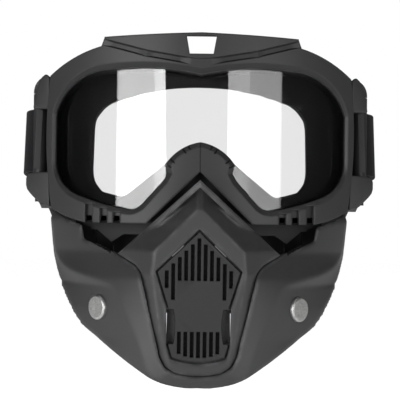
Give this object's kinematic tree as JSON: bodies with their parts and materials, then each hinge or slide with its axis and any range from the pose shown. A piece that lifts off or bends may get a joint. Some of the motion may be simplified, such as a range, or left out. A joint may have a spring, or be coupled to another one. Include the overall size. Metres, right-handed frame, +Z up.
{
  "type": "sports protective goggles",
  "caption": "Sports goggles with a clear curved lens, foam face seat, head strap on hinged outriggers, and a detachable lower face mask with a slotted vent cover.",
  "frame": {"origin": "on the mid-plane at eye height, at the back face of the forehead foam where it meets the face", "axes": "+X to the right of someone facing the goggles, -Y the way the wearer looks, +Z up"},
  "size_m": [0.1782, 0.2423, 0.1675],
  "materials": {
    "lens_clear": "polished clear polycarbonate",
    "frame_grey": "satin moulded",
    "skirt_rubber": "matte",
    "foam_black": "open-cell foam",
    "fleece_black": "brushed fleece",
    "steel": "satin",
    "outrigger_grey": "satin moulded",
    "strap_webbing": "woven elastic",
    "slider_black": "satin",
    "mask_grey": "satin moulded",
    "cover_grey": "satin moulded",
    "screen_black": "fine mesh",
    "catch_grey": "moulded",
    "filter_felt": "felt"
  },
  "bodies": {
    "goggles": {"front_frame": "frame_grey", "lens": "lens_clear", "rear_skirt": "skirt_rubber", "face_foam": "foam_black", "face_fleece": "fleece_black", "vent_foam_top": "foam_black", "vent_foam_left": "foam_black", "vent_foam_right": "foam_black", "hinge_pins": "steel", "strap_left": "strap_webbing", "strap_right": "strap_webbing"},
    "outrigger_left": {"outrigger_left": "outrigger_grey", "strap_loop_left": "strap_webbing"},
    "outrigger_right": {"outrigger_right": "outrigger_grey", "strap_loop_right": "strap_webbing"},
    "slider_left": {"strap_slider_left": "slider_black"},
    "slider_right": {"strap_slider_right": "slider_black"},
    "mask": {"jaw_shell": "mask_grey", "nose_shell": "mask_grey", "vent_catches": "catch_grey", "filter_pad": "filter_felt", "filter_frame": "slider_black", "cheek_rivets": "steel", "rivet_washers": "steel", "cheek_pad_left": "foam_black", "cheek_pad_right": "foam_black", "chin_pad": "foam_black"},
    "vent_cover": {"vent_cover": "cover_grey", "vent_screen": "screen_black"}
  },
  "joints": [
    {"name": "outrigger_left_hinge", "type": "hinge", "parent": "goggles", "child": "outrigger_left", "pos_m": [-0.0808, -0.011, 0], "axis": [0, 0, 1], "range_deg": [-2, 18]},
    {"name": "outrigger_right_hinge", "type": "hinge", "parent": "goggles", "child": "outrigger_right", "pos_m": [0.0808, -0.011, 0], "axis": [0, 0, -1], "range_deg": [-2, 18]},
    {"name": "slider_left_travel", "type": "slide", "parent": "goggles", "child": "slider_left", "axis": [0.0195, 0.9561, -0.2923], "range_m": [0, 0.025]},
    {"name": "slider_right_travel", "type": "slide", "parent": "goggles", "child": "slider_right", "axis": [-0.0195, 0.9561, -0.2923], "range_m": [0, 0.025]},
    {"name": "mask_release", "type": "slide", "parent": "goggles", "child": "mask", "axis": [0, 0, -1], "range_m": [0, 0.025]},
    {"name": "vent_cover_release", "type": "slide", "parent": "mask", "child": "vent_cover", "axis": [0, -1, 0], "range_m": [0, 0.014]}
  ]
}
